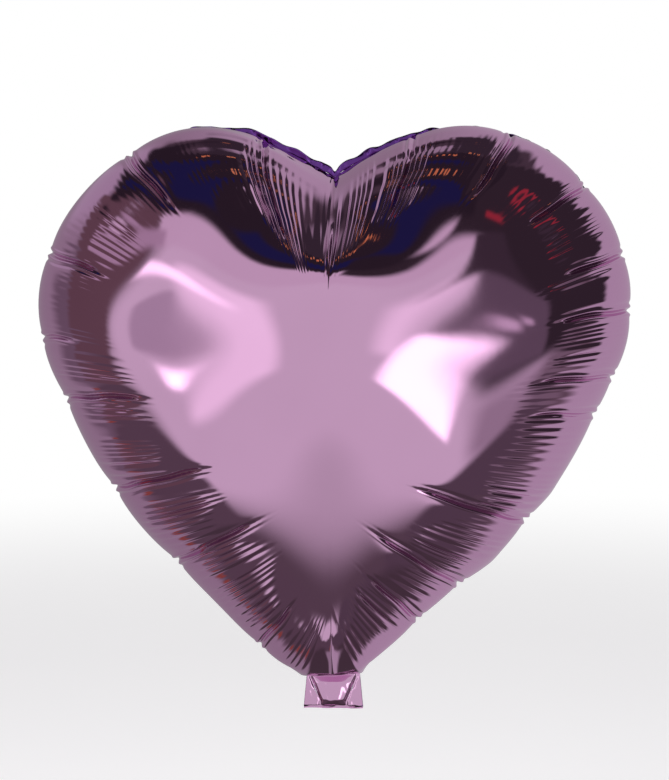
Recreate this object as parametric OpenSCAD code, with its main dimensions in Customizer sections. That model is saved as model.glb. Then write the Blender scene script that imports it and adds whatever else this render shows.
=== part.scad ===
// Heart-shaped metallised foil balloon: two film panels welded round their edge,
// a flat inflation tail below the neck, and a clear self-sealing valve inside.
// Millimetres. +Z is up, the front looks along -Y, the origin is the neck line.

/* [Inflated heart] */
// Overall inflated width
heart_w = 380; // [200:1:700]
// Height of the lobes above the neck line
heart_h = 362; // [190:1:670]
// Overall inflated depth, front to back
depth = 192; // [90:1:360]
// Radius of each upper lobe
lobe_r = 112; // [50:1:220]
// Radius of the long side curves
side_r = 560; // [300:10:1200]
// Height of the fullest point above the neck line
crown_z = 192; // [90:1:360]
// How round the fullness is: small is pointed, large is flat-topped
fullness = 2.8; // [1.5:0.1:5]

/* [Seam] */
// How far the welded seam sits in behind the bulging film
seam_inset = 5; // [1:0.5:10]
// Free width of the heat-sealed edge outside the seam
flange_w = 5; // [2:0.5:10]
// Thickness of the sealed edge (stand-in, the real one is about 0.07)
flange_t = 0.8; // [0.4:0.1:2]
// Distance between gathers round the edge, in mesh columns
gather_every = 8; // [6:1:14]
// How far each gather draws the edge in
gather_depth = 3; // [0:0.5:6]

/* [Film] */
// Thickness of each panel (stand-in, the real film is about 0.035)
film_t = 0.5; // [0.3:0.1:1.5]

/* [Tail] */
// Tail width at the neck
neck_w = 35; // [20:1:60]
// Tail width at its open end
tail_w = 39.5; // [20:0.5:80]
// Length of the longer back ply below the neck
tail_l = 21; // [15:0.5:60]
// How much shorter the front ply is
lip = 4.5; // [0:0.5:10]
// Thickness of one tail ply
ply_t = 0.5; // [0.3:0.1:1]
// Width of the welds down the tail's sides
tail_seal_w = 3; // [1.5:0.5:6]
// Thickness of the side welds, which holds the two plies apart
tail_seal_t = 1; // [0.8:0.1:2]
// Height left free below the neck line, so that the tail can fold
tail_gap = 1.6; // [1:0.1:3]

/* [Valve] */
// Width of the valve sleeve
valve_w = 26; // [15:1:40]
// Height of the sleeve's upper end above the neck
valve_l = 86; // [40:1:150]
// Height of the sleeve's fold above the neck
valve_fold = 4.5; // [3:0.5:10]
// How far the sleeve stops short of the front ply's end
valve_short = 3; // [0:0.5:8]
// Thickness of one valve film (stand-in, the real film is about 0.05)
valve_t = 0.3; // [0.2:0.05:0.6]
// Thickness of the sleeve's side welds, which is the slit between its films
slit = 0.2; // [0.1:0.05:0.5]
// Width of the welds down the sleeve's sides
valve_seal_w = 2.5; // [1:0.5:5]
// Height of the heat-resistant release coat above the neck
coat_z = 8; // [4:1:30]
// Length of the release coat
coat_l = 18; // [8:1:40]

/* [Hidden] */

// Sub-part to build, or all of them

film_colour = [0.68, 0.50, 0.64];
seal_colour = [0.30, 0.12, 0.45];
clear_colour = [0.85, 0.86, 0.88, 0.5];
coat_colour = [0.75, 0.78, 0.80, 0.7];
lobe_x = heart_w / 2 - lobe_r;
lobe_z = heart_h - lobe_r;
neck_gap = flange_t / 2;
// The tip stops just above the neck line, clear of the folding tail
tip = [neck_w / 2, 1.2];
// The tail reaches its full width this share of the way down
flare_share = 0.55;
flare_z = -tail_l * flare_share;
front_l = tail_l - lip;
// The coat stays this much clear of the welds, both sides together
coat_clear = 1;
coat_w = valve_w - 2 * valve_seal_w - coat_clear;
n_lobe = 36;
n_side = 30;
n_neck = 6;
n_cols = 2 * (n_lobe + n_side) + n_neck;
n_rows = 8;
n_curl = 2;
// Columns beside the cleft that have no gather, and above the neck where the curl opens out
n_clear = 3;
n_open = 3;
// Columns of the neck that the sealed edge stays off, on each side
n_seal_off = 2;
// Share of a full gather at its neighbouring columns, and at the cleft itself
side_gather = 0.35;
cleft_gather = 0.6;
// How the rows crowd towards the rim, and how a gather's crease deepens and ends towards it
row_crowding = 1.7;
crease_rise = 6;
crease_depth = 1.5;
// How far the sealed edge laps in behind the seam
seal_lap = 1;
to_tip = tip - [lobe_x, lobe_z];
tip_d = norm(to_tip);
side_gap = lobe_r - side_r;
side_cos = (tip_d * tip_d + lobe_r * lobe_r - 2 * lobe_r * side_r) / (2 * side_gap * tip_d);
a_cleft = atan2(sqrt(lobe_r * lobe_r - lobe_x * lobe_x), -lobe_x);
a_join = atan2(to_tip[1], to_tip[0]) + acos(side_cos);
side_c = [lobe_x, lobe_z] + side_gap * [cos(a_join), sin(a_join)];
a_tip = atan2(tip[1] - side_c[1], tip[0] - side_c[0]);

// One entry of the outline: [point, outward direction, gather 0..1, open neck 0..1]
function gather(k) =
  let (m = abs(k - gather_every * round(k / gather_every)))
  k < n_clear ? 0 : m == 0 ? 1 : m == 1 ? side_gather : 0;
function on_lobe(k) =
  let (a = a_cleft + (a_join - a_cleft) * k / n_lobe)
  [[lobe_x, lobe_z] + lobe_r * [cos(a), sin(a)], [cos(a), sin(a)], gather(k), 0];
function on_side(k) =
  let (a = a_join + (a_tip - a_join) * k / n_side)
  [side_c + side_r * [cos(a), sin(a)], [cos(a), sin(a)],
   gather(k + n_lobe), max(0, (k - n_side + n_open) / n_open)];
function on_neck(k) = [[tip[0] - 2 * tip[0] * k / n_neck, tip[1]], [0, -1], 0, 1];
function mirrored(e) = [[-e[0][0], e[0][1]], [-e[1][0], e[1][1]], e[2], e[3]];
function rim_entry(i) =
  i == 0 ? [[0, on_lobe(0)[0][1]], [0, 1], cleft_gather, 0] :
  i < n_lobe ? on_lobe(i) :
  i < n_lobe + n_side ? on_side(i - n_lobe) :
  i < n_lobe + n_side + n_neck ? on_neck(i - n_lobe - n_side) :
  i == n_lobe + n_side + n_neck ? mirrored(on_side(n_side)) :
  mirrored(rim_entry(n_cols - i));
rim = [for (i = [0 : n_cols - 1]) rim_entry(i)];

function share(t) = 1 - pow(1 - t, row_crowding);
function fall(s) = sqrt(max(0, 1 - pow(s, fullness)));
function curl(e) = e[3] > 0 ? neck_gap + (seam_inset - neck_gap) * (1 - e[3]) : seam_inset;
function edge_pt(e, inset) = e[0] - e[1] * (inset + gather_depth * e[2]);

// Film surface of the front half, rows from the crown to the rim, then the curl
function film_pt(i, j) =
  let (e = rim[i], c = curl(e), high = depth / 2 - c)
  j <= n_rows ?
    let (s = share(j / n_rows), o = [0, crown_z],
         b = edge_pt(e, 0) * s + o * (1 - s),
         crease = e[2] * gather_depth * crease_depth * pow(s, crease_rise) * fall(s))
    [b[0], -(c + high * fall(s) - crease), b[1]] :
    let (q = 90 * (j - n_rows) / n_curl,
         b = edge_pt(e, c * (1 - cos(q)) * (1 - e[3])))
    [b[0], -max(flange_t / 2, c * (1 - sin(q))), b[1]];
outer = [for (j = [1 : n_rows + n_curl]) [for (i = [0 : n_cols - 1]) film_pt(i, j)]];
crown = [0, -depth / 2, crown_z];
last = n_rows + n_curl - 1;

// Inner surface: every point moved one film thickness along its own normal
function unit(v) = v / max(1e-9, norm(v));
function along(j, i) = outer[j][(i + 1) % n_cols] - outer[j][(i + n_cols - 1) % n_cols];
function across(j, i) =
  j == 0 ? outer[1][i] - crown :
  j == last ? outer[last][i] - outer[last - 1][i] :
  outer[j + 1][i] - outer[j - 1][i];
function inward(j, i) =
  let (n = unit(cross(along(j, i), across(j, i))),
       m = j == last ? unit([n[0], 0, n[2]]) : n)
  outer[j][i] + film_t * m;
inner = [for (j = [0 : last]) [for (i = [0 : n_cols - 1]) inward(j, i)]];

function flat(rows) = [for (r = rows) for (p = r) p];
function band(start, j, turn) = [for (i = [0 : n_cols - 1])
  let (a = start + j * n_cols + i, b = start + j * n_cols + (i + 1) % n_cols)
  for (f = [[a, b, a + n_cols], [b, b + n_cols, a + n_cols]]) turn ? [f[2], f[1], f[0]] : f];
function cap(start, pole, turn) = [for (i = [0 : n_cols - 1])
  let (f = [pole, start + (i + 1) % n_cols, start + i])
  turn ? [f[2], f[1], f[0]] : f];
function closing(a0, b0) = [for (i = [0 : n_cols - 1])
  let (k = (i + 1) % n_cols)
  for (f = [[a0 + i, a0 + k, b0 + i], [a0 + k, b0 + k, b0 + i]]) f];

module half_shell() {
  n_pts = n_cols * (last + 1);
  points = concat(flat(outer), flat(inner), [crown, crown + [0, film_t, 0]]);
  faces = concat(
    [for (j = [0 : last - 1]) for (f = band(0, j, false)) f],
    cap(0, 2 * n_pts, false),
    [for (j = [0 : last - 1]) for (f = band(n_pts, j, true)) f],
    cap(n_pts, 2 * n_pts + 1, true),
    closing(n_cols * last, n_pts + n_cols * last));
  polyhedron(points = points, faces = faces, convexity = 10);
}

module front_panel() {
  color(film_colour)
  half_shell();
}

module back_panel() {
  color(film_colour)
  mirror([0, 1, 0])
  half_shell();
}

// Sealed edge: a flat strip that both panels' rims stand on, open at the neck
function strip_pt(i, inset) = edge_pt(rim[i], inset);
module perimeter_seal() {
  first = n_lobe + n_side + n_neck + n_seal_off;
  count = n_cols - n_neck - 2 * n_seal_off;
  ring = [for (k = [0 : count]) (first + k) % n_cols];
  color(seal_colour)
  translate([0, flange_t / 2, 0])
  rotate([90, 0, 0])
  linear_extrude(height = flange_t)
  polygon(concat(
    [for (i = ring) strip_pt(i, seam_inset + seal_lap)],
    [for (k = [0 : count]) strip_pt(ring[count - k], seam_inset - flange_w)]));
}

// One tail ply, tapering from the open end to the neck
module ply(length, y0) {
  translate([0, y0 + ply_t, 0])
  rotate([90, 0, 0])
  linear_extrude(height = ply_t)
  polygon([
    [-neck_w / 2, -tail_gap], [neck_w / 2, -tail_gap],
    [tail_w / 2, flare_z], [tail_w / 2, -length],
    [-tail_w / 2, -length], [-tail_w / 2, flare_z]
  ]);
}

module tail_front_ply() {
  color(film_colour)
  ply(front_l, -tail_seal_t / 2 - ply_t);
}

module tail_back_ply() {
  color(film_colour)
  ply(tail_l, tail_seal_t / 2);
}

module tail_seal() {
  translate([0, tail_seal_t / 2, 0])
  rotate([90, 0, 0])
  linear_extrude(height = tail_seal_t)
  polygon([
    [neck_w / 2, -tail_gap], [tail_w / 2, flare_z], [tail_w / 2, -front_l],
    [tail_w / 2 - tail_seal_w, -front_l],
    [tail_w / 2 - tail_seal_w, flare_z],
    [neck_w / 2 - tail_seal_w, -tail_gap]
  ]);
}

module tail_seal_right() {
  color(seal_colour)
  tail_seal();
}

module tail_seal_left() {
  color(seal_colour)
  mirror([1, 0, 0])
  tail_seal();
}

// The sleeve's lower end lies between the tail plies and stops short of the mouth
module mouth_film(y0) {
  color(clear_colour)
  translate([-valve_w / 2, y0, valve_short - front_l])
  cube([valve_w, valve_t, front_l - valve_short - tail_gap]);
}

module valve_mouth_front_film() {
  mouth_film(-tail_seal_t / 2);
}

module valve_mouth_back_film() {
  mouth_film(tail_seal_t / 2 - valve_t);
}

module valve_film(y0) {
  color(clear_colour)
  translate([-valve_w / 2, y0, valve_fold])
  cube([valve_w, valve_t, valve_l - valve_fold]);
}

module valve_front_film() {
  valve_film(-slit / 2 - valve_t);
}

module valve_back_film() {
  valve_film(slit / 2);
}

module valve_seal(x0) {
  color(clear_colour)
  translate([x0, -slit / 2, valve_fold])
  cube([valve_seal_w, slit, valve_l - valve_fold]);
}

module valve_seal_left() {
  valve_seal(-valve_w / 2);
}

module valve_seal_right() {
  valve_seal(valve_w / 2 - valve_seal_w);
}

// Printed coat that keeps the sleeve open where the neck is welded over it
module valve_release_coat() {
  color(coat_colour)
  translate([-coat_w / 2, -slit / 2, coat_z])
  cube([coat_w, slit / 2, coat_l]);
}

front_panel();
back_panel();
perimeter_seal();
tail_front_ply();
tail_back_ply();
tail_seal_left();
tail_seal_right();
valve_mouth_front_film();
valve_mouth_back_film();
valve_front_film();
valve_back_film();
valve_seal_left();
valve_seal_right();
valve_release_coat();
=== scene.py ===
"""Heart foil balloon. Two flat heart-shaped film sheets, welded at the edge, are inflated here by a small
film solver, creased where the seam gathers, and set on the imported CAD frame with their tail, valve,
materials and studio."""

import math

import bpy
import numpy as np
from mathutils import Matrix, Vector


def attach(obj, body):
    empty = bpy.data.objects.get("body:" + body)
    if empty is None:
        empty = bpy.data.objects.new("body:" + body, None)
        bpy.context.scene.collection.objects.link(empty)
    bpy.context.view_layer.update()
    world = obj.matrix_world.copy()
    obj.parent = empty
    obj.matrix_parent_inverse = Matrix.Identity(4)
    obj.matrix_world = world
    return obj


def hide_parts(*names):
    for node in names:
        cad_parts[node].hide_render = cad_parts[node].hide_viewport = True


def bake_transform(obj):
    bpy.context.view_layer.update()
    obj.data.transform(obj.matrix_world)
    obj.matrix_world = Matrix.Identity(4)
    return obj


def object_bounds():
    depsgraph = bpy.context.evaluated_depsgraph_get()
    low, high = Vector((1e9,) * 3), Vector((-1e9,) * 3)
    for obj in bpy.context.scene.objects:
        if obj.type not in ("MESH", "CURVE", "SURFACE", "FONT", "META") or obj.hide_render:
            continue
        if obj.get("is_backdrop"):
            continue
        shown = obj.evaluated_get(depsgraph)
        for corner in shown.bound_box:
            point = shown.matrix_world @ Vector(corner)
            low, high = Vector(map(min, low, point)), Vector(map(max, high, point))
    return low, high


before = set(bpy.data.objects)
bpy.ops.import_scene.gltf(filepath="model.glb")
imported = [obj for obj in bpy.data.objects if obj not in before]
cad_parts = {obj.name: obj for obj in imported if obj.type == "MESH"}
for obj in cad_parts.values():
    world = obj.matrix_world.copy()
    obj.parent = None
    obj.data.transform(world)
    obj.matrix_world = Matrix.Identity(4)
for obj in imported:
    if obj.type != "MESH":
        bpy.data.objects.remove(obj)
cad_low, cad_high = (np.array(v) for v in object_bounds())

MM = 0.001

# ---------------------------------------------------------------- flat cut of each sheet, in mm
# Each half of the heart is a lobe arc and a flatter side arc that ends at the neck line
LOBE_X, LOBE_Z, LOBE_R = 83.5, 267.0, 156.5
SIDE_R = 400.0
TIP_X, TIP_Z = 22.0, -9.0
ARC_POINTS, NECK_POINTS = 400, 41

# Width of the welded edge, the share of its length that is left once it is gathered, about the share of the
# flat outline's size that the filled one keeps, and half the width and the height of the filled neck
SEAM_W, SEAM_SHRINK = 5.0, 0.87
INFLATED_SHARE = 0.85
NECK_HALF, NECK_Z = 17.5, 1.2

# Inner line that every column of the mesh starts from, so that no point of the film is a pole
SPINE_TOP, SPINE_FOOT, SPINE_EASE = 235.0, 55.0, 3.5
EDGE_EASE = 1.25
SQUARE_WAVES = 12.0

# ---------------------------------------------------------------- settings of the film solver
# Levels, coarse then fine: columns, rows per sheet, steps, passes of the links per step, gas pressure
LEVELS = [(160, 20, 350, 8, 0.0109), (320, 30, 100, 8, 0.0073)]
SEAM_ROWS = 2
SPINE_TO_SEAM = 160.0
START_BULGE = 6.0

# Share of the last step's move that film and strip keep, the share of its error that a link corrects at each
# end in one pass, the part of that which a squeezed link across the rows corrects, and the pull on the neck
FILM_MOMENTUM, STRIP_MOMENTUM = 0.985, 0.9
STIFF, SQUEEZED_ACROSS, NECK_HOLD = 0.5, 0.3, 0.5

# Share of the rows that shrink with the seam, smoothing per step, and how many waves round a row stay
SHRUNK_ROWS = 0.03
SMOOTHING = 0.02
WAVES_KEPT = 16


# ---------------------------------------------------------------- outline and flat mesh
def arc(centre, radius, start, end, count):
    a = np.radians(np.linspace(start, end, count))
    return np.c_[centre[0] + radius * np.cos(a), centre[1] + radius * np.sin(a)]


def outline():
    """The flat heart, clockwise from the cleft: lobe arc, side arc, neck line, and the same mirrored."""
    lobe, tip = np.array([LOBE_X, LOBE_Z]), np.array([TIP_X, TIP_Z])
    to_tip = tip - lobe
    reach = np.hypot(*to_tip)
    cleft_angle = math.degrees(math.atan2(math.sqrt(LOBE_R ** 2 - LOBE_X ** 2), -LOBE_X))
    turn = (reach ** 2 + LOBE_R ** 2 - 2 * LOBE_R * SIDE_R) / (2 * (LOBE_R - SIDE_R) * reach)
    join = math.degrees(math.atan2(to_tip[1], to_tip[0]) + math.acos(turn))
    side = lobe + (LOBE_R - SIDE_R) * np.array([math.cos(math.radians(join)), math.sin(math.radians(join))])
    tip_angle = math.degrees(math.atan2(tip[1] - side[1], tip[0] - side[0]))
    lobe_arc = arc(lobe, LOBE_R, cleft_angle, join, ARC_POINTS)
    side_arc = arc(side, SIDE_R, join, tip_angle, ARC_POINTS)
    right = np.vstack([lobe_arc, side_arc[1:]])
    neck = np.c_[np.linspace(TIP_X, -TIP_X, NECK_POINTS), np.full(NECK_POINTS, TIP_Z)][1:-1]
    return np.vstack([right, neck, (right * [-1, 1])[::-1][:-1]])


def spread(points, at):
    """Points at shares `at` of the length of a closed line, and that length."""
    closed = np.vstack([points, points[:1]])
    along = np.concatenate([[0], np.cumsum(np.linalg.norm(np.diff(closed, axis=0), axis=1))])
    length = along[-1]
    return np.stack([np.interp(at * length, along, side) for side in closed.T], -1), length


def outward(seam):
    """Unit normals of the closed line, away from its inside."""
    along = np.roll(seam, -1, 0) - np.roll(seam, 1, 0)
    along /= np.linalg.norm(along, axis=1)[:, None]
    return np.c_[-along[:, 1], along[:, 0]]


def flat_sheet(columns, rows):
    """Flat positions [row, column, xz] from the spine (row 0) to the seam, the seam line and its length.
    Every column is a cubic curve that meets the seam at right angles."""
    at = np.arange(columns) / columns
    seam, length = spread(outline(), at)
    share = np.abs((at + 0.5) % 1 - 0.5) * 2
    spine = np.c_[np.zeros(columns), SPINE_TOP + (SPINE_FOOT - SPINE_TOP) * share ** SPINE_EASE]
    waves = np.exp(-(np.arange(columns // 2 + 1) / SQUARE_WAVES) ** 2)[:, None]
    square = np.fft.irfft(np.fft.rfft(outward(seam), axis=0) * waves, n=columns, axis=0)
    square /= np.linalg.norm(square, axis=1)[:, None]
    square *= np.linalg.norm(seam - spine, axis=1)[:, None]
    f = (1 - (1 - np.linspace(0, 1, rows + 1)) ** EDGE_EASE)[:, None, None]
    sheet = ((2 * f ** 3 - 3 * f ** 2 + 1) * spine + (f ** 3 - 2 * f ** 2 + f) * (seam - spine)
             + (3 * f ** 2 - 2 * f ** 3) * seam + (f ** 3 - f ** 2) * square)
    return sheet, seam, length


# ---------------------------------------------------------------- film solver
def distance(a, b):
    """How far apart the points of two grids are."""
    return np.linalg.norm(a - b, axis=-1).astype(np.float32)


def pull(a, b, rest, stiff, soft):
    """Moves both ends of every link towards its rest length: stiff if it is stretched, soft if squeezed."""
    d = b - a
    length = np.sqrt(d[0] * d[0] + d[1] * d[1] + d[2] * d[2])
    excess = 1 - rest / (length + 1e-6)
    d *= np.where(excess > 0, np.float32(stiff), np.float32(soft)) * excess
    a += d
    b -= d


def pull_ring(x, rest, stiff, soft):
    """Links along each row, which closes on itself: even ones, odd ones, then the closing one."""
    pull(x[:, :, 0::2], x[:, :, 1::2], rest[:, 0::2], stiff, soft)
    pull(x[:, :, 1:-1:2], x[:, :, 2::2], rest[:, 1:-1:2], stiff, soft)
    pull(x[:, :, -1:], x[:, :, :1], rest[:, -1:], stiff, soft)


def pull_diagonals(a, b, rising, falling, stiff, soft):
    """Links from row a to row b, one column on (rising) and one column back (falling)."""
    pull(a[:, :, :-1], b[:, :, 1:], rising[:, :-1], stiff, soft)
    pull(a[:, :, -1:], b[:, :, :1], rising[:, -1:], stiff, soft)
    pull(a[:, :, 1:], b[:, :, :-1], falling[:, :-1], stiff, soft)
    pull(a[:, :, :1], b[:, :, -1:], falling[:, -1:], stiff, soft)


class Rest:
    """Rest lengths of a flat grid of rows: along the rows, across them, and both diagonals."""

    def __init__(self, flat, along_scale=1.0):
        after = np.roll(flat, -1, 1)
        self.along = (distance(flat, after) * along_scale).astype(np.float32)
        self.across = distance(flat[1:], flat[:-1])
        self.falling = distance(flat[1:], after[:-1])
        self.rising = distance(after[1:], flat[:-1])


def resample(x, at, axis, closed):
    """Catmull-Rom values of x at fractional positions `at` along an axis."""
    n = x.shape[axis]
    i = np.floor(at).astype(int)
    if not closed:
        i = np.clip(i, 0, n - 2)
    shape = [1] * x.ndim
    shape[axis] = -1
    f = (at - i).reshape(shape)
    wrap = (lambda k: k % n) if closed else (lambda k: np.clip(k, 0, n - 1))
    p0, p1, p2, p3 = (np.take(x, wrap(i + k), axis) for k in (-1, 0, 1, 2))
    return 0.5 * (2 * p1 + (p2 - p0) * f + (2 * p0 - 5 * p1 + 4 * p2 - p3) * f ** 2
                  + (3 * p1 - p0 - 3 * p2 + p3) * f ** 3)


def refine(x, rows, columns):
    """The same surface on a finer regular grid: Fourier along the rows, Catmull-Rom across them."""
    _, old_rows, old_columns = x.shape
    waves = np.fft.rfft(x, axis=2)
    more = np.zeros((3, old_rows, columns // 2 + 1), complex)
    more[:, :, :waves.shape[2]] = waves
    x = np.fft.irfft(more, n=columns, axis=2) * (columns / old_columns)
    if rows != old_rows:
        x = resample(x, np.linspace(0, old_rows - 1, rows), 1, False)
    return x.astype(np.float32)


def push_of_gas(x):
    """Area-weighted normal at every point, outwards from the balloon."""
    along = np.roll(x, -1, 2) - np.roll(x, 1, 2)
    across = np.empty_like(x)
    across[:, 1:-1] = x[:, 2:] - x[:, :-2]
    across[:, 0] = x[:, 1] - x[:, 0]
    across[:, -1] = x[:, -1] - x[:, -2]
    return np.stack([along[1] * across[2] - along[2] * across[1],
                     along[2] * across[0] - along[0] * across[2],
                     along[0] * across[1] - along[1] * across[0]])


def smooth(x, amount, mirror):
    """Fourth-difference smoothing, along the rows and across them, through the spine. An amount of 1 would
    take the shortest wave away at once."""
    second = np.roll(x, -1, 2) + np.roll(x, 1, 2) - 2 * x
    x -= (np.roll(second, -1, 2) + np.roll(second, 1, 2) - 2 * second) * np.float32(amount / 16)
    longer = np.concatenate([x[:, 2:0:-1][:, :, mirror], x, x[:, -2:-4:-1][:, :, mirror]], 1)
    second = longer[:, 2:] + longer[:, :-2] - 2 * longer[:, 1:-1]
    x -= (second[:, 2:] + second[:, :-2] - 2 * second[:, 1:-1]) * np.float32(amount / 16)


def low_pass(x, flat, keep, share):
    """Drops short waves along each row from what the gas has moved, and keeps the outline's own corners."""
    moved = x.copy()
    moved[0] -= flat[..., 0] * share
    moved[2] -= flat[..., 1] * share
    short = np.fft.irfft(np.fft.rfft(moved, axis=2) * (1 - keep), n=x.shape[2], axis=2)
    x -= short.astype(np.float32)


def start_shape(flat, flat_strip, rows):
    """A nearly flat lens."""
    total, columns = flat.shape[:2]
    x = np.zeros((3, total, columns), np.float32)
    x[0], x[2] = flat[..., 0], flat[..., 1]
    lens = START_BULGE * np.sqrt(np.clip(1 - np.linspace(0, 1, rows + 1) ** 2, 0, 1))
    x[1] = np.concatenate([-lens, lens[:-1][::-1]])[:, None]
    strip = np.zeros((3, SEAM_ROWS + 1, columns), np.float32)
    strip[0], strip[2] = flat_strip[..., 0], flat_strip[..., 1]
    return x, strip


def inflate():
    """Front and back film as x[3, 2 * rows + 1, columns], spine to seam to spine, and the sealed strip."""
    x = strip = None
    for columns, rows, steps, passes, pressure in LEVELS:
        sheet, seam, length = flat_sheet(columns, rows)
        out = outward(seam)
        total = 2 * rows + 1
        flat = np.concatenate([sheet, sheet[:-1][::-1]], 0)
        near_seam = np.exp(-((np.arange(total) - rows) / (rows * SHRUNK_ROWS)) ** 2)
        film = Rest(flat, 1 - (1 - SEAM_SHRINK) * near_seam[:, None])
        wide = np.linspace(0, SEAM_W, SEAM_ROWS + 1)
        flat_strip = seam[None] + out[None] * wide[:, None, None]
        weld = Rest(flat_strip, SEAM_SHRINK)
        mirror = (-np.arange(columns)) % columns
        share = 1 - (1 - INFLATED_SHARE) * (1 - np.abs(np.arange(total) - rows) / rows)[:, None] ** 2
        keep = np.exp(-(np.arange(columns // 2 + 1) / WAVES_KEPT) ** 6).astype(np.float32)
        neck = np.where(np.abs(seam[:, 1] - TIP_Z) < 1e-6)[0]
        neck_x = (seam[neck, 0] * NECK_HALF / TIP_X).astype(np.float32)
        if x is None:
            x, strip = start_shape(flat, flat_strip, rows)
        else:
            x, strip = refine(x, total, columns), refine(strip, SEAM_ROWS + 1, columns)
        before, strip_before = x.copy(), strip.copy()
        cell = np.float32(length / columns * SPINE_TO_SEAM / rows)
        for _ in range(steps):
            speed = (x - before) * np.float32(FILM_MOMENTUM)
            strip_speed = (strip - strip_before) * np.float32(STRIP_MOMENTUM)
            push = push_of_gas(x)
            np.copyto(before, x)
            np.copyto(strip_before, strip)
            x += speed + push * np.float32(pressure / cell / 4)
            strip += strip_speed
            for _ in range(passes):
                pull_film(x, film, mirror)
                pull_weld(x, strip, weld, rows)
                x[0, rows, neck] += (neck_x - x[0, rows, neck]) * NECK_HOLD
                x[1, rows, neck] *= 1 - NECK_HOLD
                x[2, rows, neck] += (NECK_Z - x[2, rows, neck]) * NECK_HOLD
            smooth(x, SMOOTHING, mirror)
            low_pass(x, flat, keep, share)
            low_pass(strip, flat_strip, keep, INFLATED_SHARE)
    return x, strip


def pull_film(x, film, mirror):
    """One pass over the links of both sheets, whose two sides are then joined again along the spine."""
    pull_ring(x, film.along, STIFF, 0)
    for odd in (0, 1):
        pull(x[:, odd:-1:2], x[:, odd + 1::2], film.across[odd::2], STIFF, STIFF * SQUEEZED_ACROSS)
    for odd in (0, 1):
        pull_diagonals(x[:, odd:-1:2], x[:, odd + 1::2], film.rising[odd::2],
                       film.falling[odd::2], STIFF, 0)
    for row in (0, x.shape[1] - 1):
        x[:, row] = 0.5 * (x[:, row] + x[:, row][:, mirror])


def pull_weld(x, strip, weld, seam_row):
    """One pass over the links of the welded strip, whose first row is the seam of the film."""
    strip[:, 0] = x[:, seam_row]
    pull_ring(strip, weld.along, STIFF, 0)
    for row in range(SEAM_ROWS):
        inner, outer = strip[:, row:row + 1], strip[:, row + 1:row + 2]
        pull(inner, outer, weld.across[row:row + 1], STIFF, STIFF)
    x[:, seam_row] = strip[:, 0]


# ---------------------------------------------------------------- creases and fine ripples, in mm
# Final grid of each sheet: columns and rows, and how much closer its rows lie near the seam
FINE_COLUMNS, FINE_ROWS, FINE_EDGE_EASE = 1600, 58, 1.5

# Creases where the seam gathers: share of its length clockwise from the cleft (seen from the front),
# depth of the pinch, how far in it runs from the seam, and how much it leans, all but the first in mm
CREASES = [
    (0.045, 1.6, 46, 0), (0.099, 2.0, 50, 4), (0.150, 2.2, 48, -3), (0.196, 1.8, 44, -2),
    (0.2305, 2.2, 50, -5), (0.2715, 1.8, 46, -2), (0.295, 1.6, 42, -2), (0.363, 2.8, 70, -8),
    (0.413, 2.6, 66, -8), (0.443, 2.0, 48, -6), (0.547, 1.8, 44, 5), (0.6075, 2.8, 64, 8),
    (0.658, 2.8, 66, 8), (0.714, 2.2, 56, 6), (0.753, 1.4, 30, 2), (0.806, 1.8, 44, 4),
    (0.882, 2.0, 48, 3), (0.9615, 1.6, 50, 2),
]

# A crease wanders a little, ends over some mm, and pinches the film over a width that grows towards the seam
CREASE_WANDER, CREASE_WANDER_LENGTH, CREASE_END = 0.5, 7.0, 3.0
PINCH_WIDTH, PINCH_WIDENS = 3.0, 9.0

# Profile of the sharp fold along a crease: mm beside its line, height and half width. It is stronger on deep
# creases, ends in a small dent, and the film beside it ripples less.
FOLD_PROFILE = [(0.0, -1.3, 1.4), (2.8, 0.7, 1.3), (-2.9, 0.65, 1.3), (-5.4, -0.6, 1.4)]
FOLD_STRENGTH, FOLD_PER_DEPTH = 0.5, 0.25
DENT, DENT_WIDTH, DENT_LENGTH = 0.5, 3.5, 5.0
CALMED, CALM_WIDTH = 0.7, 5.0

# The final columns are packed closer at the creases: how much, how widely, and the points that place them
CREASE_PACKING, CREASE_PACKED_WIDTH, PACKING_POINTS = 1.0, 5.0, 20001

# Ripples between the creases: where they start and stop, in from the seam, and how softly
RIPPLE_LENGTH, RIPPLE_HEIGHT = 5.8, 0.47
RIPPLE_FROM, RIPPLE_TO = 8.0, 58.0
RIPPLE_FADE_IN, RIPPLE_FADE_OUT = 16.0, 14.0

# What varies round the seam: by how much, and in how many random waves
VARIED_HEIGHT, VARIED_START, VARIED_END, VARIED_PHASE = (0.45, 40), (4, 30), (7, 24), (1.8, 60)
STEADY_HEIGHT = 0.75
SECOND_WAVE, SECOND_WAVE_AHEAD = 0.22, 0.6

# How strongly the film ripples at each share of the seam: hardly at all on the two round lobe tops
RIPPLE_STRENGTH = [
    (0.0, 1.5), (0.048, 1.4), (0.062, 0.15), (0.15, 0.1), (0.185, 0.9), (0.30, 1.25), (0.50, 1.1),
    (0.60, 1.3), (0.73, 1.2), (0.765, 0.25), (0.87, 0.1), (0.945, 0.12), (0.958, 1.4), (1.0, 1.5),
]

# Creases and ripples fade out on the last of the film before the seam and beside the neck
SEAM_STILL, NECK_STILL, NECK_FADE = 6.0, 20.0, 12.0

# The gathered seam is drawn in behind the film on both sides of it, less so where it shows: share of the
# seam, half width in mm, and how much less
SEAM_DRAWN_IN, DRAW_REACH = 7.5, 13.0
SEAM_SHOWS = [(0.0, 50, 0.9), (0.337, 11, 0.8), (0.386, 12, 0.8), (0.955, 16, 0.5)]

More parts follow.
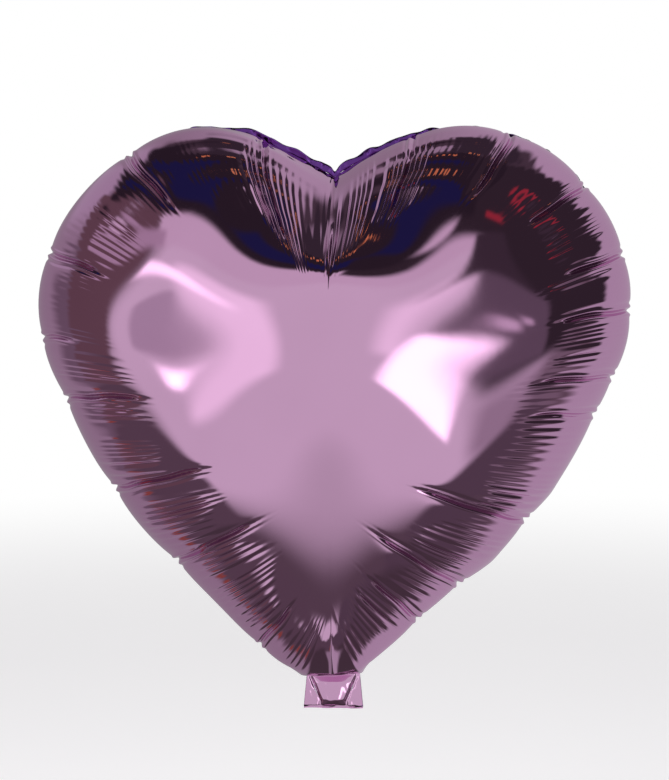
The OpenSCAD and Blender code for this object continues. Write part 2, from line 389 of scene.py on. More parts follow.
# Trim of the inflated outline: direction clockwise from the top in degrees, half width, and mm outwards.
# The directions are seen from the height TRIM_MIDDLE, and the trim is full from TRIM_FULL mm away.
TRIM_MIDDLE, TRIM_FULL = 180.0, 130.0
TRIM = [(5, 9, -3.0), (355, 8, -5.0), (338, 16, 9.0), (24, 26, 9.0), (296, 18, 1.0), (252, 28, 6.0),
        (192, 14, 8.0), (180, 9, 4.0), (152, 14, -5.0), (108, 20, 3.0)]

# Film moved outwards, or inwards at the foot, by the middle line: height, its spread, half width and mm.
# Film that lies closer than FILL_FULL to the middle of the balloon moves less.
FILL_FULL = 20.0
FILLS = [(258, 24, 22, 12.0), (76, 24, 11, 6.0), (20, 14, 11, -6.0)]
CLEFT_SHOULDER = [(286, 20, 38, 5.6)]

# The foot of the film is drawn up clear of the neck, so that the tail can fold under it
NECK_RAISED_FROM, NECK_RAISE = 16.0, 0.0150

# The taut middle of each sheet is one even dome: where it starts in from the seam, and its terms in x and z
DOME_FROM, DOME_BLEND, DOME_FIT_FROM = 30.0, 30.0, 24.0
DOME_X, DOME_Z, DOME_TERMS = 150.0, 175.0, 6


def ease(share):
    """A share from 0 to 1 with a soft start and end."""
    return share * share * (3 - 2 * share)


def fill(x, fills):
    """Moves film near the middle line outwards, front and back alike."""
    for height, spread_z, half_x, amount in fills:
        out = amount * np.exp(-(x[0] / half_x) ** 2 - ((x[2] - height) / spread_z) ** 2)
        x[1] += out * np.clip(x[1] / FILL_FULL, -1, 1)


def trim(x):
    """Moves the outline by a few mm, fading towards the middle of the balloon, and adds FILLS."""
    away_x, away_z = x[0], x[2] - TRIM_MIDDLE
    radius = np.hypot(away_x, away_z) + 1e-6
    heading = np.degrees(np.arctan2(away_x, away_z)) % 360
    out = np.zeros_like(radius)
    for centre, half, amount in TRIM:
        off = (heading - centre + 180) % 360 - 180
        out += amount * np.exp(-(off / half) ** 2)
    out *= np.clip(radius / TRIM_FULL, 0, 1) ** 2
    fill(x, FILLS)
    x[0] += out * away_x / radius
    x[2] += out * away_z / radius


def from_edge(x):
    """The way in from the seam at each column of a sheet, and how far in its points lie."""
    seam = x[:, -1]
    round_seam = np.roll(seam, -1, 1) - np.roll(seam, 1, 1)
    inward = np.stack([round_seam[2], -round_seam[0]])
    inward /= np.linalg.norm(inward, axis=0)
    return inward, (x[0] - seam[0]) * inward[0] + (x[2] - seam[2]) * inward[1]


def dome(sheet):
    """Replaces the middle of a coarse sheet [xyz, row, column] by the even surface that fits it best."""
    x, y, z = sheet
    inside = from_edge(sheet)[1]
    p, q = x / DOME_X, (z - DOME_Z) / DOME_Z
    powers = range(DOME_TERMS + 1)
    terms = np.stack([p ** i * q ** j for i in powers[::2] for j in powers], -1)
    inner = inside > DOME_FIT_FROM
    (x_down, x_round), (z_down, z_round) = np.gradient(x), np.gradient(z)
    weight = np.sqrt(np.abs(x_down * z_round - z_down * x_round)[inner] + 0.01)
    found = np.linalg.lstsq(terms[inner] * weight[:, None], y[inner] * weight, rcond=None)[0]
    share = ease(np.clip((inside - DOME_FROM) / DOME_BLEND, 0, 1))
    sheet[1] = y + share * (terms @ found - y)


def neck_fade(s, seam_length):
    """Nothing is added on the last of the seam beside the neck."""
    off = np.abs(s - seam_length / 2)
    return np.clip((off - NECK_STILL) / NECK_FADE, 0, 1)


def drawn_in(s, seam_length):
    """How far the seam is drawn in at each place along it."""
    shown = np.zeros_like(s)
    for place, width, amount in SEAM_SHOWS:
        off = (s / seam_length - place + 0.5) % 1 - 0.5
        shown = np.maximum(shown, amount * np.exp(-(off * seam_length / width) ** 2))
    return SEAM_DRAWN_IN * (1 - shown) * neck_fade(s, seam_length)


def noise_row(count, waves, rng):
    """A smooth periodic random line of that many waves, about -1 to 1."""
    k = np.arange(1, waves + 1)
    a, b = rng.normal(size=(2, waves)) / math.sqrt(waves)
    at = 2 * math.pi * np.arange(count)[:, None] / count * k
    return (a * np.cos(at) + b * np.sin(at)).sum(1)


def varied(setting, rng):
    """A random line round the seam, from a pair of its size and its number of waves."""
    amount, waves = setting
    return amount * noise_row(FINE_COLUMNS, waves, rng)


def columns_packed(length):
    """Column positions as shares of the seam, closer together at each crease and its mirror place."""
    grid = np.linspace(0, 1, PACKING_POINTS)
    density = np.ones_like(grid)
    for at in [0.0] + [crease[0] for crease in CREASES]:
        for place in {at, (1 - at) % 1}:
            off = (grid - place + 0.5) % 1 - 0.5
            density += CREASE_PACKING * np.exp(-(off * length / CREASE_PACKED_WIDTH) ** 2)
    density = 0.5 * (density + density[::-1])
    total = np.concatenate([[0], np.cumsum(0.5 * (density[1:] + density[:-1]))])
    return np.interp(np.arange(FINE_COLUMNS) / FINE_COLUMNS * total[-1], total, grid)


def normals(x, side):
    """Unit normals of a sheet [3, row, column], outwards. The side is -1 for the front and 1 for the back."""
    along = np.gradient(np.concatenate([x[:, :, -1:], x, x[:, :, :1]], 2), axis=2)[:, :, 1:-1]
    normal = np.cross(along, np.gradient(x, axis=1), axis=0)
    normal /= np.linalg.norm(normal, axis=0) + 1e-9
    return -normal if side * normal[1].mean() < 0 else normal


def creases(inside, along_film, ring, at, varies, rng):
    """How much the creases lift each point of a sheet, and how strongly the film between them may ripple."""
    s, seam_length = ring[:-1], ring[-1]
    lift, calm = np.zeros_like(inside), np.ones_like(inside)
    for place, depth, reach, lean in CREASES:
        centre = np.interp(place, np.append(at, 1), ring)
        if varies:
            depth = depth * rng.uniform(0.7, 1.2)
            reach = reach * rng.uniform(0.8, 1.15)
        wander = CREASE_WANDER * np.sin(along_film / CREASE_WANDER_LENGTH + rng.uniform(0, 6))
        bend = lean * np.clip(inside / reach, 0, 1) + wander
        off = (s[None] - centre + seam_length / 2) % seam_length - seam_length / 2 - bend
        fade = 1 / (1 + np.exp((inside - reach) / CREASE_END))
        pinch_width = PINCH_WIDTH + PINCH_WIDENS * np.clip(1 - inside / reach, 0, 1)
        pinch = -depth * np.exp(-np.abs(off) / pinch_width)
        fold = sum(height * np.exp(-((off - beside) / half) ** 2) for beside, height, half in FOLD_PROFILE)
        dent = np.exp(-(off / DENT_WIDTH) ** 2 - ((inside - reach) / DENT_LENGTH) ** 2)
        lift += fade * (pinch + fold * (FOLD_STRENGTH + depth * FOLD_PER_DEPTH)) - DENT * dent
        calm *= 1 - CALMED * np.exp(-(off / CALM_WIDTH) ** 2)
    return lift, calm


def ripples(inside, s, at, rng):
    """How much the fine ripples lift each point of a sheet."""
    height = RIPPLE_HEIGHT * (STEADY_HEIGHT + varied(VARIED_HEIGHT, rng))
    first = RIPPLE_FROM + varied(VARIED_START, rng)
    last = RIPPLE_TO + varied(VARIED_END, rng)
    height = height * np.interp(at, *zip(*RIPPLE_STRENGTH))
    fade_in = np.clip((inside - first) / RIPPLE_FADE_IN, 0, 1)
    fade_out = np.clip((last - inside) / RIPPLE_FADE_OUT, 0, 1)
    phase = 2 * math.pi * s / RIPPLE_LENGTH + varied(VARIED_PHASE, rng)
    wave = np.sin(phase) + SECOND_WAVE * np.sin(2 * phase + SECOND_WAVE_AHEAD)
    return ease(fade_in * fade_out) * height * wave


def fine_sheet(coarse, at, side, seed):
    """One sheet on the final grid, spine to seam, creased and rippled. The coarse one is [3, row, column]."""
    rows = coarse.shape[1] - 1
    out = 1 - (1 - np.linspace(0, 1, FINE_ROWS + 1)) ** FINE_EDGE_EASE
    row_at = (1 - (1 - out) ** (1 / EDGE_EASE)) * rows
    x = resample(resample(coarse, row_at, 1, False), at * coarse.shape[2], 2, True)
    inward, inside = from_edge(x)
    steps = np.linalg.norm(np.roll(x[:, -1], -1, 1) - x[:, -1], axis=0)
    ring = np.concatenate([[0], np.cumsum(steps)])
    s, seam_length = ring[:-1], ring[-1]
    from_seam = np.cumsum(np.linalg.norm(np.diff(x[:, ::-1], axis=1), axis=0), axis=0)
    along_film = np.concatenate([np.zeros((1, x.shape[2])), from_seam])[::-1]
    rng = np.random.default_rng(seed)
    lift, calm = creases(inside, along_film, ring, at, side > 0, rng)
    lift += calm * ripples(inside, s, at, rng)
    lift *= np.clip(along_film / SEAM_STILL, 0, 1) * neck_fade(s, seam_length)
    draw = drawn_in(s, seam_length) * np.exp(-(along_film / DRAW_REACH) ** 2)
    x = x + normals(x, side) * lift
    x[0] += inward[0] * draw
    x[2] += inward[1] * draw
    return x


# ---------------------------------------------------------------- meshes
def new_piece(name, vertices, faces, material):
    mesh = bpy.data.meshes.new(name)
    mesh.from_pydata(np.asarray(vertices, float).tolist(), [], [list(map(int, f)) for f in faces])
    mesh.update()
    mesh.polygons.foreach_set("use_smooth", [True] * len(mesh.polygons))
    mesh.materials.append(material)
    piece = bpy.data.objects.new(name, mesh)
    bpy.context.scene.collection.objects.link(piece)
    return piece


def panel_piece(name, x, material, flip):
    """One sheet. x is [row, column, xyz] in metres, its row 0 along the spine, both sides of which meet."""
    rows, columns = x.shape[0] - 1, x.shape[1]
    half = columns // 2
    spine = np.minimum(np.arange(columns), (-np.arange(columns)) % columns)
    number = np.vstack([spine, half + 1 + np.arange(rows * columns).reshape(rows, columns)])
    middle = 0.5 * (x[0, :half + 1] + x[0, (-np.arange(half + 1)) % columns])
    vertices = np.vstack([middle, x[1:].reshape(-1, 3)])
    after = np.roll(number, -1, 1)
    quads = np.stack([number[:-1], after[:-1], after[1:], number[1:]], -1).reshape(-1, 4)
    if flip:
        quads = quads[:, ::-1]
    faces = [list(dict.fromkeys(q)) for q in quads.tolist()]
    return new_piece(name, vertices, [f for f in faces if len(f) > 2], material)


def grid_piece(name, x, thickness, material):
    """A film patch, x[row, column, xyz] in metres, as a closed solid of that thickness, or a plain sheet."""
    rows, columns = x.shape[:2]
    number = np.arange(rows * columns).reshape(rows, columns)
    quads = np.stack([number[:-1, :-1], number[:-1, 1:], number[1:, 1:], number[1:, :-1]], -1).reshape(-1, 4)
    if thickness == 0:
        return new_piece(name, x.reshape(-1, 3), quads, material)
    n = np.cross(np.gradient(x, axis=1), np.gradient(x, axis=0))
    n /= np.linalg.norm(n, axis=-1, keepdims=True) + 1e-12
    top, low = (x + n * thickness / 2).reshape(-1, 3), (x - n * thickness / 2).reshape(-1, 3)
    ring = np.concatenate([number[0], number[1:, -1], number[-1, -2::-1], number[-2:0:-1, 0]])
    other = rows * columns
    rim = np.stack([ring, np.roll(ring, -1), np.roll(ring, -1) + other, ring + other], -1)
    faces = np.concatenate([quads[:, ::-1], quads + other, rim])
    return new_piece(name, np.vstack([top, low]), faces, material)


# ---------------------------------------------------------------- materials
class Nodes:
    """Short helpers to wire shader nodes: values may be numbers or sockets."""

    def __init__(self, tree):
        self.tree = tree

    def node(self, kind, **settings):
        made = self.tree.nodes.new(kind)
        for key, value in settings.items():
            setattr(made, key, value)
        return made

    def put(self, socket, value):
        if isinstance(value, bpy.types.NodeSocket):
            self.tree.links.new(value, socket)
        elif value is not None:
            socket.default_value = value

    def math(self, operation, a, b=None):
        made = self.node("ShaderNodeMath", operation=operation)
        for socket, value in zip(made.inputs, (a, b)):
            self.put(socket, value)
        return made.outputs[0]

    def mix(self, factor, a, b):
        made = self.node("ShaderNodeMix", data_type="RGBA")
        self.put(made.inputs[0], factor)
        self.put(made.inputs[6], a)
        self.put(made.inputs[7], b)
        return made.outputs[2]

    def noise(self, vector, scale, detail=2.0, roughness=0.5):
        made = self.node("ShaderNodeTexNoise")
        self.put(made.inputs["Vector"], vector)
        made.inputs["Scale"].default_value = scale
        made.inputs["Detail"].default_value = detail
        made.inputs["Roughness"].default_value = roughness
        return made.outputs["Fac"]

    def span(self, value, low, high, to_low=0.0, to_high=1.0):
        made = self.node("ShaderNodeMapRange", interpolation_type="SMOOTHSTEP")
        for socket, number in zip(made.inputs, (value, low, high, to_low, to_high)):
            self.put(socket, number)
        return made.outputs[0]


def node_material(name):
    """A new material, helpers for its nodes and its main shader."""
    material = bpy.data.materials.new(name)
    material.use_nodes = True
    return material, Nodes(material.node_tree), material.node_tree.nodes["Principled BSDF"]


def foil(name, colour, dull, roughness, dent):
    """Vacuum-metallised film: a tinted mirror with faint haze, scuffs and a very fine unevenness."""
    material, n, shader = node_material(name)
    place = n.node("ShaderNodeTexCoord").outputs["Object"]
    haze = n.noise(place, scale=9.0, detail=3.0)
    grain = n.noise(place, scale=420.0, detail=4.0, roughness=0.7)
    shader.inputs["Metallic"].default_value = 1.0
    n.put(shader.inputs["Base Color"], n.mix(n.span(haze, 0.35, 0.7), (*colour, 1), (*dull, 1)))
    rough = n.math("ADD", n.span(haze, 0.3, 0.75, to_low=roughness, to_high=roughness * 1.5),
                   n.math("MULTIPLY", grain, roughness * 0.5))
    n.put(shader.inputs["Roughness"], rough)
    bump = n.node("ShaderNodeBump")
    bump.inputs["Strength"].default_value = dent
    bump.inputs["Distance"].default_value = 0.5 * MM
    n.put(bump.inputs["Height"], n.noise(place, scale=60.0, detail=2.0))
    n.put(shader.inputs["Normal"], bump.outputs[0])
    return material


def clear_film(name):
    """Unmetallised polyethylene film of the valve, slightly milky."""
    material, n, shader = node_material(name)
    place = n.node("ShaderNodeTexCoord").outputs["Object"]
    milk = n.noise(place, scale=80.0, detail=3.0)
    n.put(shader.inputs["Base Color"], n.mix(milk, (0.93, 0.95, 0.97, 1), (0.82, 0.86, 0.90, 1)))
    n.put(shader.inputs["Roughness"], n.span(milk, 0.3, 0.7, to_low=0.10, to_high=0.22))
    shader.inputs["Transmission Weight"].default_value = 0.75
    shader.inputs["IOR"].default_value = 1.45
    return material


def coat(name):
    """The release coat printed inside the valve: a flat matt ink with slightly patchy colour."""
    material, n, shader = node_material(name)
    place = n.node("ShaderNodeTexCoord").outputs["Object"]
    blotch = n.noise(place, scale=300.0, detail=3.0)
    n.put(shader.inputs["Base Color"], n.mix(blotch, (0.78, 0.80, 0.84, 1), (0.62, 0.66, 0.74, 1)))
    n.put(shader.inputs["Roughness"], n.span(blotch, 0.2, 0.8, to_low=0.55, to_high=0.75))
    return material


mauve = foil("mauve_mirror_foil", (0.735, 0.425, 0.665), (0.70, 0.40, 0.63), 0.045, 0.02)
violet = foil("violet_welded_foil", (0.16, 0.055, 0.30), (0.10, 0.035, 0.20), 0.12, 0.25)
clear = clear_film("clear_valve_film")
matt = coat("matt_release_coat")


# ---------------------------------------------------------------- the balloon
EDGE_COLUMNS = 1200
EDGE_THICK = 0.12

# Folds of the welded edge: random waves and their share, their height in mm, and how its width varies
EDGE_FOLDS = [(150, 0.8), (60, 0.7)]
EDGE_FOLD_HEIGHT = 1.1
EDGE_NARROWER, EDGE_UNEVEN, EDGE_UNEVEN_WAVES = 0.10, 0.10, 90

# Share of its length that the welded edge leaves open on each side of the tail
NECK_GAP = 0.017


def crinkle(strip, seed):
    """The welded edge: uniform columns, small folds leaning both ways, and its outer rim a little wavy."""
    x = refine(strip, SEAM_ROWS * 2 + 1, EDGE_COLUMNS)
    rng = np.random.default_rng(seed)
    fold = sum(noise_row(EDGE_COLUMNS, waves, rng) * height for waves, height in EDGE_FOLDS)
    out = np.linspace(0, 1, x.shape[1])[:, None]
    x[1] += out * fold * EDGE_FOLD_HEIGHT
    seam_x, seam_z = x[0, 0], x[2, 0]
    round_x = np.roll(seam_x, -1) - np.roll(seam_x, 1)
    round_z = np.roll(seam_z, -1) - np.roll(seam_z, 1)
    size = np.hypot(round_x, round_z)
    ring = np.cumsum(size / 2) - size[0] / 2
    draw = drawn_in(ring, ring[-1])
    x[0] += draw * round_z / size
    x[2] -= draw * round_x / size
    seam, rim = x[:, :1], x[:, -1:]
    narrower = EDGE_NARROWER + EDGE_UNEVEN * noise_row(EDGE_COLUMNS, EDGE_UNEVEN_WAVES, rng)
    x += (seam - rim) * (out * narrower)
    return x


def fit(parts, low, high):
    """Scales the parts together so that the film fills the box from low to high in x and y and up to its top,
    then raises its foot. Gives the parts as [row, column, xyz] and the mean scale across the front."""
    every = np.concatenate([p.reshape(3, -1) for p in parts], 1)
    size = every.max(1) - every.min(1)
    scale = np.array([(high[0] - low[0]) / size[0], (high[1] - low[1]) / size[1], high[2] / every[2].max()])
    middle = 0.5 * (every.max(1) + every.min(1)) * scale
    shift = np.array([-middle[0], -middle[1], 0.0])
    print("film box, mm:", size.round(1), "scaled by", scale.round(3))
    parts = [np.moveaxis(p, 0, -1) * scale + shift for p in parts]
    for p in parts:
        p[..., 2] += NECK_RAISE * np.clip(NECK_RAISED_FROM - p[..., 2], 0, None) ** 2
    return parts, (scale[0] + scale[2]) / 2


film, strip = inflate()
trim(film)
trim(strip)
coarse_rows = LEVELS[-1][1]
coarse_front, coarse_back = film[:, :coarse_rows + 1], film[:, coarse_rows:][:, ::-1]
dome(coarse_front)
dome(coarse_back)
fill(film, CLEFT_SHOULDER)
_, cut_length = spread(outline(), np.zeros(1))
share = columns_packed(cut_length)
front_film = fine_sheet(coarse_front, share, side=-1, seed=11)
back_film = fine_sheet(coarse_back, share, side=1, seed=23)
edge_film = crinkle(strip, seed=31)
(front_x, back_x, edge_x), cut_scale = fit([front_film, back_film, edge_film], cad_low / MM, cad_high / MM)
front = panel_piece("front_film", front_x * MM, mauve, False)
back = panel_piece("back_film", back_x * MM, mauve, True)

order = np.roll(np.arange(EDGE_COLUMNS), EDGE_COLUMNS // 2)
gap = int(EDGE_COLUMNS * NECK_GAP)
edge = grid_piece("welded_edge", edge_x[:, order[gap:-gap]] * MM, EDGE_THICK * MM, violet)
for piece, node, finish in ((front, "front_panel", "mauve_foil"), (back, "back_panel", "mauve_foil"),
                            (edge, "perimeter_seal", "violet_seal")):
    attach(piece, "balloon")
    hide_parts(node)


# ---------------------------------------------------------------- the tail: two plies, welded at both sides
TAIL_TOP, TAIL_FOOT, TAIL_NECK_HALF, TAIL_FOOT_HALF = 3.9, -20.9, 17.5, 19.7
TAIL_WIDENS_FROM = 2.0
PLY_ROWS, PLY_COLUMNS = 44, 72
PLY_FROM_MIDDLE = 0.85
PLY_CREASES, EDGE_STILL = 7, 8
FRONT_CREASED, FRONT_CREASED_Z, BACK_CREASED = 0.34, 0.35, 0.22

# The front ply ends higher. Its tongue narrows on the way down, is pressed out most along its middle, fades
# out at its top and foot, has a low rim on both sides, and is calmer than the film beside it.
FRONT_SHORTER = 2.2
TONGUE_HALF, TONGUE_NARROWS, TONGUE_FROM, TONGUE_LENGTH = 14.5, 7.0, 1.0, 17.0
TONGUE_HEIGHT, TONGUE_ROUND, TONGUE_SIDE, TONGUE_CALM = 2.6, 1.2, 2.2, 0.6
TONGUE_TOP, TONGUE_TOP_FADE, TONGUE_FOOT_FADE, TONGUE_FOOT_POWER = 2.0, 5.0, 4.0, 0.7
RIM_HEIGHT, RIM_BESIDE, RIM_HALF = 0.54, 1.2, 1.0

# The back ply's hem curls forwards and is wavy
HEM_Z, HEM_FADE, HEM_CURL, HEM_WAVE, HEM_WAVE_TURN = -17.0, 3.5, 1.6, 0.5, 0.35

# The side welds: width, how far they stand out past the plies, thickness, how far they end above the foot,
# and their slight wave
TAIL_WELD, WELD_PAST, WELD_THICK, WELD_SHORTER = 3.0, 0.2, 0.10, 1.0
WELD_COLUMNS, WELD_WAVE, WELD_WAVE_TURN = 7, 0.30, 0.55


def tail_half(z):
    """Half the width of the tail at a height."""
    down = np.clip((TAIL_WIDENS_FROM - z) / (TAIL_WIDENS_FROM - TAIL_FOOT), 0, 1)
    return TAIL_NECK_HALF + (TAIL_FOOT_HALF - TAIL_NECK_HALF) * down


def ply_grid(foot, seed):
    """Places of a ply's points in x and z, its random creases, and how free they are, 0 at its side edges."""
    z = np.linspace(TAIL_TOP, foot, PLY_ROWS)[:, None] * np.ones(PLY_COLUMNS)
    across = np.linspace(-1, 1, PLY_COLUMNS)[None] * np.ones((PLY_ROWS, 1))
    x = across * tail_half(z)
    rng = np.random.default_rng(seed)
    creased = sum(rng.uniform(0.2, 1) * np.sin(x * rng.uniform(0.3, 1.1) + z * rng.uniform(-0.7, 0.7)
                                              + rng.uniform(0, 6)) for _ in range(PLY_CREASES)) / 4
    return x, z, creased, 1 - np.abs(across) ** EDGE_STILL


def tail_front(seed):
    """Front ply: a cup-shaped tongue pressed out down its middle between crinkled sides."""
    foot = TAIL_FOOT + FRONT_SHORTER
    x, z, creased, free = ply_grid(foot, seed)
    down = np.clip((TAIL_TOP - z) / (TAIL_TOP - TAIL_FOOT), 0, 1)
    half = TONGUE_HALF - TONGUE_NARROWS * np.clip((TONGUE_FROM - z) / TONGUE_LENGTH, 0, 1)
    rise = ease(np.clip((half - np.abs(x)) / TONGUE_SIDE + 0.5, 0, 1))
    foot_fade = np.clip((z - foot) / TONGUE_FOOT_FADE, 0, 1) ** TONGUE_FOOT_POWER
    top_fade = np.clip((TONGUE_TOP - z) / TONGUE_TOP_FADE, 0, 1)
    bulge = rise * (TONGUE_HEIGHT - TONGUE_ROUND * (x / half) ** 2) * foot_fade * top_fade
    rim = RIM_HEIGHT * np.exp(-((np.abs(x) - half - RIM_BESIDE) / RIM_HALF) ** 2)
    y = -PLY_FROM_MIDDLE - bulge + rim + FRONT_CREASED * creased * free * (1 - TONGUE_CALM * rise)
    return np.stack([x, y, z + FRONT_CREASED_Z * creased * down], -1)


def tail_back(seed):
    """Back ply: nearly flat, a little longer, with a hem that curls forwards."""
    x, z, creased, free = ply_grid(TAIL_FOOT, seed)
    hem = np.clip((HEM_Z - z) / HEM_FADE, 0, 1)
    curl = HEM_CURL * hem ** 1.5 - HEM_WAVE * hem * np.sin(x * HEM_WAVE_TURN)
    return np.stack([x, PLY_FROM_MIDDLE + BACK_CREASED * creased * free - curl, z], -1)


def tail_weld(side):
    """The flat weld down one side of the tail, where its two plies are joined."""
    z = np.linspace(TAIL_TOP, TAIL_FOOT + WELD_SHORTER, PLY_ROWS)[:, None]
    across = np.linspace(0, 1, WELD_COLUMNS)[None]
    x = side * (tail_half(z) - TAIL_WELD * across + WELD_PAST)
    y = WELD_WAVE * np.sin(z * WELD_WAVE_TURN + side) * across
    return np.stack([x, y, np.broadcast_to(z, x.shape)], -1)


plies = [("tail_front_film", "tail_front_ply", tail_front(47), mauve, 0.0, "mauve_foil"),
         ("tail_back_film", "tail_back_ply", tail_back(53), mauve, 0.0, "mauve_foil"),
         ("tail_weld_left", "tail_seal_left", tail_weld(-1), violet, WELD_THICK, "violet_seal"),
         ("tail_weld_right", "tail_seal_right", tail_weld(1), violet, WELD_THICK, "violet_seal")]
tail = {}
for name, node, points, material, thick, finish in plies:
    tail[name] = grid_piece(name, points * MM, thick * MM, material)
    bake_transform(tail[name])
    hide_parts(node)

# Each sheet is cut in one piece with its half of the tail, and was this size before it was inflated
cut = outline() + SEAM_W * outward(outline())
cut *= cut_scale
after = np.roll(cut, -1, 0)
cut_area = abs((cut[:, 0] * after[:, 1] - after[:, 0] * cut[:, 1]).sum()) / 2
cut_area += (NECK_Z - TAIL_FOOT) * (TAIL_NECK_HALF + TAIL_FOOT_HALF)

# The valve keeps its CAD shapes
for node, material in (("valve_mouth_front_film", clear), ("valve_mouth_back_film", clear),
                       ("valve_front_film", clear), ("valve_back_film", clear),
                       ("valve_seal_left", clear), ("valve_seal_right", clear), ("valve_release_coat", matt)):
    for place in bpy.data.objects[node].material_slots:
        place.material = material


# ---------------------------------------------------------------- camera
CAMERA_AZ, CAMERA_EL, CAMERA_DISTANCE, CAMERA_LENS = 3.0, 4.0, 0.994, 70
LOOK_AT = Vector((0.0007, 0, 0.191))


def toward(azimuth, elevation):
    """The way from the object to a place that far round and up, in degrees."""
    a, e = math.radians(azimuth), math.radians(elevation)
    return Vector((math.sin(a) * math.cos(e), -math.cos(a) * math.cos(e), math.sin(e)))


scene = bpy.context.scene
scene.view_settings.view_transform = "Standard"
camera_data = bpy.data.cameras.new("camera")
camera = bpy.data.objects.new("camera", camera_data)
scene.collection.objects.link(camera)
camera_data.lens = CAMERA_LENS
camera.location = LOOK_AT + toward(CAMERA_AZ, CAMERA_EL) * CAMERA_DISTANCE
camera.rotation_mode = "QUATERNION"
camera.rotation_quaternion = (-toward(CAMERA_AZ, CAMERA_EL)).to_track_quat("-Z", "Y")
scene.camera = camera

# ---------------------------------------------------------------- the room that the mirror film shows
# Each direction is put on a flat chart whose middle is the way from the balloon to the camera: u degrees to
# its right and v degrees up, 90 at the sides and 180 behind. The light wall is in front of the balloon, then
# a ring of dark room, and the backdrop behind it.
LIGHT_WALL, DARK_ROOM = (0.70, 0.71, 0.71, 1), (0.13, 0.11, 0.115, 1)
BACKDROP_LEFT, BACKDROP_RIGHT = (0.33, 0.31, 0.33, 1), (0.50, 0.48, 0.51, 1)
WALL_END, ROOM_END = (46.0, 60.0), (80.0, 96.0)
BACKDROP_ACROSS = (-60.0, 60.0)
PLAIN_WHITE = (1.0, 1.0, 1.0, 1)

PATCHES = [
    # middle u, v, half width, half height, softness, colour, turn
    (-12, 40, 34, 10, 3, (0.66, 0.64, 0.66), 0),
    (-88, -6, 16, 34, 8, (0.17, 0.15, 0.165), 0),
    (-86, 76, 24, 24, 10, (0.44, 0.42, 0.46), 0),
    (60, 24, 32, 35, 3, (0.035, 0.03, 0.033), 0),
    (40, -22, 12, 11, 6, (0.36, 0.34, 0.36), 0),
    (60, -22, 14, 12, 6, (0.20, 0.18, 0.19), 0),
    (-66, 20, 16, 42, 3, (0.14, 0.10, 0.10), -8),
    (-52, 36, 12, 4.5, 2.5, (0.45, 0.40, 0.44), -10),
    (0, -60, 60, 13, 7, (0.11, 0.095, 0.10), 0),
    (-38, -50, 34, 14, 3, (0.11, 0.092, 0.10), -35),
    (34, -49, 30, 14, 3, (0.10, 0.085, 0.095), 30),
    (0, 82, 50, 21, 6, (0.07, 0.06, 0.065), 0),
    (-48, 80, 18, 16, 5, (0.05, 0.045, 0.05), 0),
    (12, 98, 22, 16, 5, (0.04, 0.035, 0.04), 0),
    (0, -100, 34, 34, 8, (0.07, 0.06, 0.062), 0),
    (39, 54, 33, 21, 3, (0.035, 0.03, 0.033), -15),
    (-22, 72, 40, 20, 3, (0.025, 0.021, 0.025), -4),
    (-26, 68, 30, 6.5, 2.5, (0.014, 0.017, 0.068), -6),
    (34, 47, 7, 2, 1.5, (0.34, 0.04, 0.05), -20),
    (-8, 84, 3, 2, 1, (0.7, 0.30, 0.10), 0),
    (12, 88, 3, 2, 1, (0.7, 0.34, 0.12), 0),
    (-66, -56, 16, 4, 3, (0.27, 0.09, 0.06), -49),
    (-27, 2, 6, 20, 3, (1.12, 1.12, 1.12), 4),
    (19, 6, 4, 14, 4, (1.05, 1.05, 1.05), -6),
    (31, 28, 10, 10, 2, (0.05, 0.042, 0.048), 0),
    (35, 5, 8.5, 13, 2, (0.13, 0.115, 0.13), -4),
    (20.5, -11, 3.2, 14, 1.8, (2.3, 2.3, 2.3), -28),
    (-38, 4, 3.6, 7.5, 1.2, (0.47, 0.45, 0.48), 4),
    (-35.5, -7.5, 1.7, 1.9, 1.2, (2.8, 2.8, 2.8), 0),
    (-38, 19, 10, 1.8, 1.6, (1.9, 1.9, 1.9), -25),
    (31, 4, 1.8, 1.5, 1.2, (0.7, 0.65, 0.7), 0),
    (35, 6, 1.5, 1.2, 1, (0.6, 0.55, 0.6), 0),
]

world = bpy.data.worlds.new("studio")
scene.world = world
world.use_nodes = True
sky = Nodes(world.node_tree)
background = world.node_tree.nodes["Background"]

facing = sky.node("ShaderNodeSeparateXYZ")
sky.put(facing.inputs[0], sky.node("ShaderNodeTexCoord").outputs["Generated"])
dx, dy, dz = facing.outputs
angle = sky.math("MULTIPLY", sky.math("ARCCOSINE", sky.math("MULTIPLY", dy, -1.0)), 180 / math.pi)
side_length = sky.math("SQRT", sky.math("ADD", sky.math("MULTIPLY", dx, dx), sky.math("MULTIPLY", dz, dz)))
stretch = sky.math("DIVIDE", angle, sky.math("ADD", side_length, 1e-4))
u, v = sky.math("MULTIPLY", dx, stretch), sky.math("MULTIPLY", dz, stretch)


def patch(under, u0, v0, half_u, half_v, soft, colour, turn):
    """Lays a soft-edged rectangle over the room: its middle, half sizes, edge softness, colour and turn."""
    c, s = math.cos(math.radians(turn)), math.sin(math.radians(turn))
    du, dv = sky.math("SUBTRACT", u, u0), sky.math("SUBTRACT", v, v0)
    across = sky.math("ADD", sky.math("MULTIPLY", du, c), sky.math("MULTIPLY", dv, s))
    up = sky.math("SUBTRACT", sky.math("MULTIPLY", dv, c), sky.math("MULTIPLY", du, s))
    in_u = sky.span(sky.math("ABSOLUTE", across), half_u - soft, half_u + soft, 1.0, 0.0)
    in_v = sky.span(sky.math("ABSOLUTE", up), half_v - soft, half_v + soft, 1.0, 0.0)
    return sky.mix(sky.math("MULTIPLY", in_u, in_v), under, (*colour, 1))


room = sky.mix(sky.span(angle, *WALL_END), LIGHT_WALL, DARK_ROOM)
backdrop = sky.mix(sky.span(u, *BACKDROP_ACROSS), BACKDROP_LEFT, BACKDROP_RIGHT)
room = sky.mix(sky.span(angle, *ROOM_END), room, backdrop)
for settings in PATCHES:
    room = patch(room, *settings)

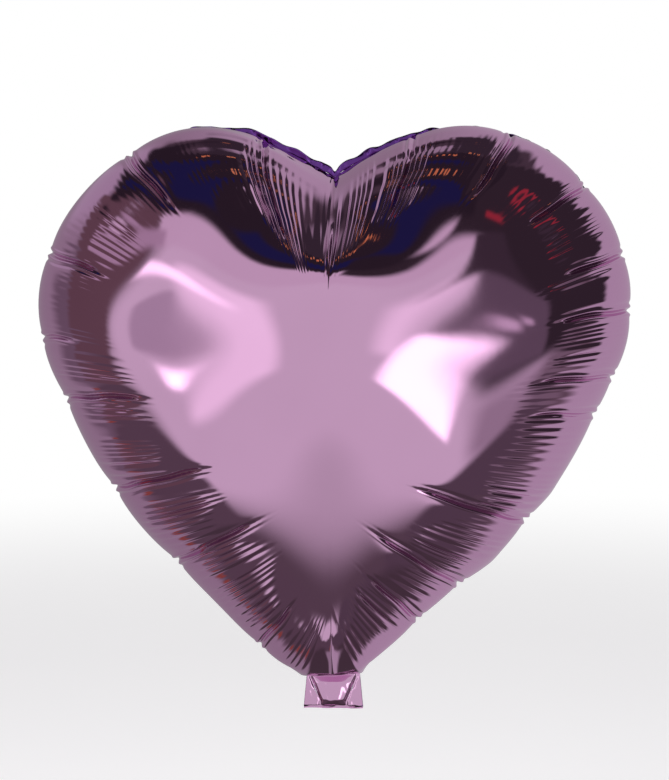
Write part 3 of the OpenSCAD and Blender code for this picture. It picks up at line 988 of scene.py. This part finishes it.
# The camera itself sees plain white behind the balloon
seen = sky.node("ShaderNodeLightPath").outputs["Is Camera Ray"]
sky.put(background.inputs[0], sky.mix(seen, room, PLAIN_WHITE))

# ---------------------------------------------------------------- lamps and floor
LAMPS_AIM = Vector((0, 0, 0.18))
FLOOR_Z, FLOOR_HALF = -0.30, 12.0

# The floor's shade passes into plain white between these distances from its middle
SWEEP_FROM, SWEEP_TO = 0.9, 3.2
FLOOR_GLOW, FLOOR_ROUGHNESS = 0.35, 0.9


def soft_light(name, place, size, power):
    """A square lamp that the mirror film doesn't show."""
    data = bpy.data.lights.new(name, "AREA")
    data.size = size
    data.energy = power
    lamp = bpy.data.objects.new(name, data)
    lamp.location = place
    lamp.rotation_mode = "QUATERNION"
    lamp.rotation_quaternion = (LAMPS_AIM - Vector(place)).to_track_quat("-Z", "Y")
    scene.collection.objects.link(lamp)
    lamp.visible_glossy = False


def floor_paper(name):
    """Pale paper that takes soft shadows near the balloon and is plain white far away from it."""
    paper, n, shader = node_material(name)
    place = n.node("ShaderNodeTexCoord").outputs["Object"]
    distance_out = n.node("ShaderNodeVectorMath", operation="LENGTH")
    n.put(distance_out.inputs[0], place)
    grain = n.noise(place, scale=3.0, detail=3.0)
    n.put(shader.inputs["Base Color"], n.mix(grain, (0.90, 0.90, 0.90, 1), (0.86, 0.86, 0.865, 1)))
    shader.inputs["Roughness"].default_value = FLOOR_ROUGHNESS
    shader.inputs["Emission Color"].default_value = PLAIN_WHITE
    shader.inputs["Emission Strength"].default_value = FLOOR_GLOW
    glow = n.node("ShaderNodeEmission")
    sweep = n.node("ShaderNodeMixShader")
    n.put(sweep.inputs[0], n.span(distance_out.outputs["Value"], SWEEP_FROM, SWEEP_TO))
    n.put(sweep.inputs[1], shader.outputs[0])
    n.put(sweep.inputs[2], glow.outputs[0])
    n.put(paper.node_tree.nodes["Material Output"].inputs[0], sweep.outputs[0])
    return paper


soft_light("overhead", (0.3, -0.4, 2.0), size=1.6, power=26)
soft_light("left", (-1.6, -1.2, 1.1), size=1.2, power=10)
ground = [(x, y, 0) for y in (-FLOOR_HALF, FLOOR_HALF) for x in (-FLOOR_HALF, FLOOR_HALF)]
floor = new_piece("floor", ground, [(0, 1, 3, 2)], floor_paper("pale_floor"))
floor.location = (0, 0, FLOOR_Z)
floor.visible_glossy = False
floor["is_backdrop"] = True
